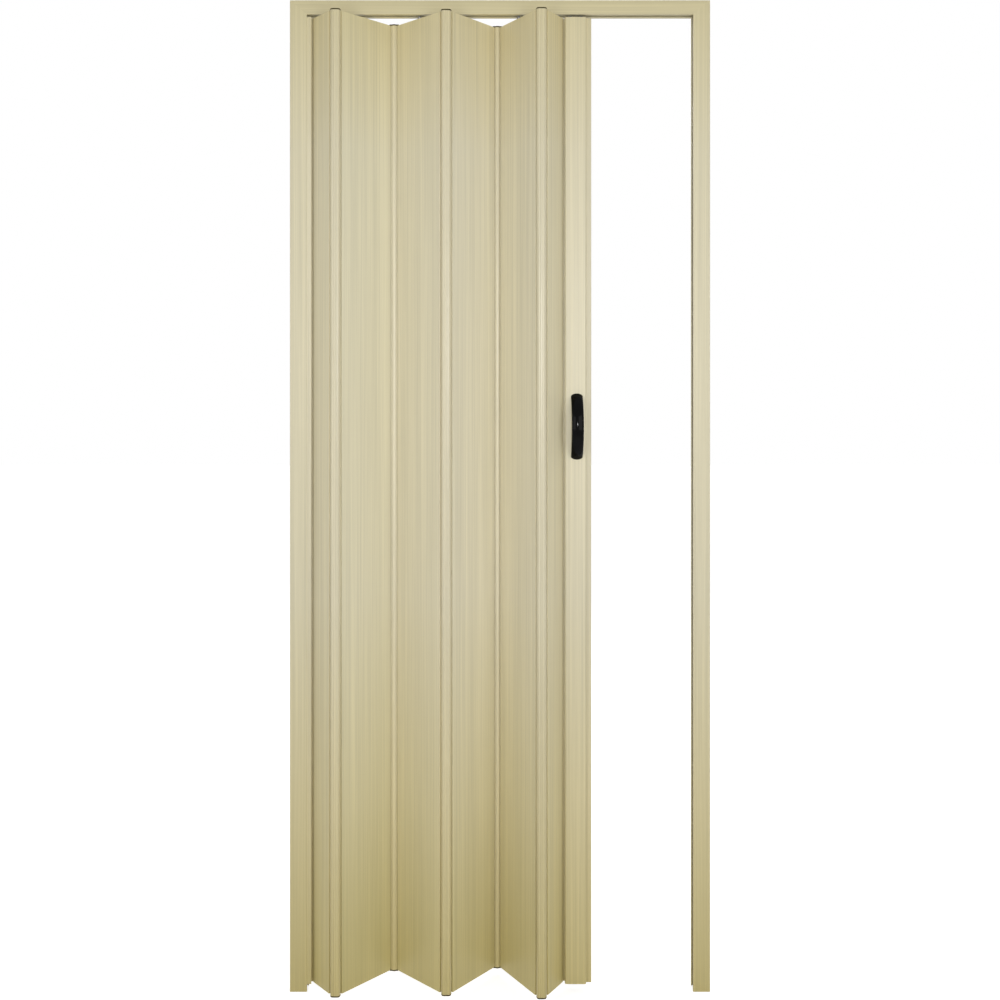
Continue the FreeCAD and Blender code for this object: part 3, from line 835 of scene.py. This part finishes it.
def end_cap(pitch, turn, middle, end, face):
    """Cap on one end of a strip, with a rounded rim at its outer face, and its spigot in the strip."""
    bottom, top = sorted((end, face))
    cap = upright([cap_outline(pitch)], turn, middle, bottom, top, "cap")
    work = bmesh.new()
    work.from_mesh(cap.data)
    rim = [edge for edge in work.edges
           if all(abs(vertex.co.z - face) < LEVEL_TOLERANCE for vertex in edge.verts)
           and edge.calc_face_angle(0) > math.radians(SHARP_DEG)]
    bmesh.ops.bevel(work, geom=rim, offset=CAP_ROUNDING, segments=CAP_ROUNDING_STEPS,
                    profile=CAP_ROUND_PROFILE, affect="EDGES", clamp_overlap=True)
    work.to_mesh(cap.data)
    work.free()
    inward = -1 if face > end else 1
    bottom, top = sorted((end, end + inward * CAP_SPIGOT))
    spigot = upright([strip_cavity(pitch, CAP_PLAY)], turn, middle, bottom, top, "spigot")
    return [cap, spigot]


# Hinge strips with their end caps
# Strips a little lighter than the jambs, as painted light
strip_tones = shaded(FRAME_PAINTED_LIGHT_TONES, STRIP_PAINTED_LIGHT)
for number in range(1, STRIP_COUNT + 1):
    left = hinges[f"strip_{number}_turn"]
    right = hinges[f"panel_{number + 1}_fold"]
    middle = (left + right) / 2
    pitch = (right - left).length
    faces_front = middle.y < 0
    turn = 0 if faces_front else 180
    folds = [fold_of(number), fold_of(number + 1)]
    if not faces_front:
        folds.reverse()
    low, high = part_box(f"hinge_strip_{number}")
    strip = upright(strip_loops(pitch, *folds), turn, middle, low.z, high.z, f"hinge_cover_{number}")
    seed = STRIP_SEED_STEP * number
    finish = grained_plastic(f"strip_plastic_{number}", strip_tones, seed, STRIP_ROUGHNESS)
    fit(strip, f"strip_{number}", "pvc_strip", finish, f"hinge_strip_{number}")

    cap_low, cap_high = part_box(f"strip_caps_{number}")
    parts = end_cap(pitch, turn, middle, high.z, cap_high.z)
    parts += end_cap(pitch, turn, middle, low.z, cap_low.z)
    caps = joined(f"strip_end_caps_{number}", parts)
    caps.data.shade_smooth()
    caps.data.set_sharp_from_angle(angle=math.radians(SHARP_DEG))
    fit(caps, f"strip_{number}", "dark_cap", dark_cap, f"strip_caps_{number}")

# Lead post
low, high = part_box("lead_post")
lead = upright(lead_loops(), 0, hinges["lead_post_turn"], low.z, high.z, "lead_profile")
lead_finish = grained_plastic("lead_plastic", FRAME_PAINTED_LIGHT_TONES, LEAD_SEED, PANEL_ROUGHNESS)
fit(lead, "lead", "pvc", lead_finish, "lead_post")

# Starter strip
low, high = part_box("starter_strip")
starter = upright(starter_loops(), 0, hinges["panel_1_fold"], low.z, high.z, "starter_profile")
starter_finish = grained_plastic("starter_plastic", FRAME_PAINTED_LIGHT_TONES, STARTER_SEED, STRIP_ROUGHNESS)
fit(starter, "frame", "pvc", starter_finish, "starter_strip")

# Frame: two jambs and the head rail, mitred where they meet
rail_low, rail_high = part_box("head_rail")
rail_face = rail_high.z - rail_low.z
jamb_low, jamb_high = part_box("hinge_jamb")
jamb_face = jamb_high.x - jamb_low.x
# Jambs and rail a little darker than the strips, as painted shade
frame_tones = shaded(FRAME_PAINTED_LIGHT_TONES, JAMB_PAINTED_SHADE)
frame_finish = grained_plastic("frame_plastic", frame_tones, FRAME_SEED, PANEL_ROUGHNESS)


def make_jamb(name, side):
    """Jamb on the left, side -1, or on the right, side 1."""
    low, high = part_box(name)
    depth = high.x - low.x
    back = low.x if side < 0 else high.x

    def foot(point):
        return (back - side * point[0], point[1], low.z)

    def head(point):
        return (back - side * point[0], point[1], rail_high.z - point[0] * rail_face / depth)

    jamb = swept(f"{name}_profile", [channel_outline(depth, JAMB_MOUTH_HALF)], foot, head)
    holes = [Vector((back, 0, height)) for height in JAMB_HOLE_HEIGHTS]
    drilled(jamb, holes, Vector((1, 0, 0)), HOLE_DEPTH)
    fit(jamb, "frame", "pvc", frame_finish, name)


def make_rail():
    """Head rail over the whole width."""

    def left_end(point):
        return (rail_low.x + point[0] * jamb_face / rail_face, point[1], rail_high.z - point[0])

    def right_end(point):
        return (rail_high.x - point[0] * jamb_face / rail_face, point[1], rail_high.z - point[0])

    rail = swept("head_rail_profile", [channel_outline(rail_face, RAIL_SLOT_HALF)], left_end, right_end)
    holes = [Vector((place, 0, rail_high.z)) for place in RAIL_HOLE_PLACES]
    drilled(rail, holes, Vector((0, 0, 1)), HOLE_DEPTH)
    fit(rail, "frame", "pvc", frame_finish, "head_rail")


make_jamb("hinge_jamb", -1)
make_jamb("strike_jamb", 1)
make_rail()

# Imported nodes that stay: the first word found in a node's name gives its finish
STAYING_FINISHES = {
    "screws": steel,
    "handle": gloss_black,
    "wheelset": nylon,
    "plug": dark_plug,
    "trolley": dark_plug,
    "pin": steel,
    "bracket": steel,
}
for name, node in frame["nodes"].items():
    finish = next((finish for word, finish in STAYING_FINISHES.items() if word in name), None)
    if finish:
        node.data.materials.clear()
        node.data.materials.append(finish)


def seen_rays(nodes):
    """One for rays that show the surroundings: camera, glossy and transmission rays."""
    rays = nodes.add("ShaderNodeLightPath")
    shown = nodes.math("MAXIMUM", rays.outputs["Is Camera Ray"], rays.outputs["Is Glossy Ray"])
    return nodes.math("MAXIMUM", shown, rays.outputs["Is Transmission Ray"])


# Floor, white to the camera away from the door and a little less beneath it
FLOOR_HALF = 15.0
FLOOR_DROP = 0.5 * MM
FLOOR_COLOUR = (0.80, 0.79, 0.77, 1)
FLOOR_ROUGHNESS = 0.9
FLOOR_GLOW_NEAR = 0.62
FLOOR_GLOW_FAR = 0.80
FLOOR_NEAR = 0.2
FLOOR_FAR = 1.8
WHITE = (1, 1, 1, 1)
floor_mesh = bpy.data.meshes.new("floor")
floor_signs = ((-1, -1), (1, -1), (1, 1), (-1, 1))
floor_corners = [(x * FLOOR_HALF, y * FLOOR_HALF, -FLOOR_DROP) for x, y in floor_signs]
floor_mesh.from_pydata(floor_corners, [], [(0, 1, 2, 3)])
floor = bpy.data.objects.new("floor", floor_mesh)
bpy.context.scene.collection.objects.link(floor)

floor_finish, floor_shader = new_finish("pale_floor")
floor_nodes = Nodes(floor_finish)
floor_shader.inputs["Base Color"].default_value = FLOOR_COLOUR
floor_shader.inputs["Roughness"].default_value = FLOOR_ROUGHNESS
floor_shader.inputs["Emission Color"].default_value = WHITE
distance = floor_nodes.add("ShaderNodeVectorMath", operation="LENGTH")
floor_nodes.link(floor_nodes.add("ShaderNodeTexCoord").outputs["Object"], distance.inputs["Vector"])
level = floor_nodes.between(
    distance.outputs["Value"], FLOOR_GLOW_NEAR, FLOOR_GLOW_FAR, FLOOR_NEAR, FLOOR_FAR)
glow = floor_nodes.math("MULTIPLY", seen_rays(floor_nodes), level)
floor_nodes.link(glow, floor_shader.inputs["Emission Strength"])
floor_mesh.materials.append(floor_finish)

# Surroundings, white where they are seen and dimmer as a light
WORLD_LIGHT = 0.28
world = bpy.data.worlds.new("studio")
bpy.context.scene.world = world
world.use_nodes = True
world_nodes = Nodes(world)
background = world.node_tree.nodes["Background"]
background.inputs["Color"].default_value = WHITE
strength = world_nodes.between(seen_rays(world_nodes), WORLD_LIGHT, 1, 0, 1)
world_nodes.link(strength, background.inputs["Strength"])

LAMP_AIM = Vector((0, 0, 1.3))


def soft_lamp(name, at, width, height, power):
    """White rectangular lamp that faces the door."""
    lamp = bpy.data.lights.new(name, "AREA")
    lamp.shape = "RECTANGLE"
    lamp.size = width
    lamp.size_y = height
    lamp.energy = power
    holder = bpy.data.objects.new(name, lamp)
    holder.location = at
    holder.rotation_euler = (LAMP_AIM - Vector(at)).to_track_quat("-Z", "Y").to_euler()
    bpy.context.scene.collection.objects.link(holder)


soft_lamp("left_lamp", at=(-1.15, -1.75, 1.55), width=1.4, height=1.5, power=12.4)
soft_lamp("right_lamp", at=(1.15, -1.75, 1.55), width=1.4, height=1.5, power=12.9)
soft_lamp("front_lamp", at=(0.15, -2.35, 1.45), width=0.13, height=0.26, power=17)
soft_lamp("back_lamp", at=(0.4, 2.4, 3.0), width=1.8, height=1.8, power=42)

# Camera at the photograph's place, level, with the horizon above the middle of the image
CAMERA_AT = (0, -2.314, 1.285)
CAMERA_LENS = 39.1
HORIZON_SHIFT = -0.115
camera_data = bpy.data.cameras.new("camera")
camera_data.lens = CAMERA_LENS
camera_data.shift_y = HORIZON_SHIFT
camera = bpy.data.objects.new("camera", camera_data)
camera.location = CAMERA_AT
camera.rotation_euler = (math.radians(90), 0, 0)
bpy.context.scene.collection.objects.link(camera)
bpy.context.scene.camera = camera
bpy.context.scene.view_settings.view_transform = "Standard"
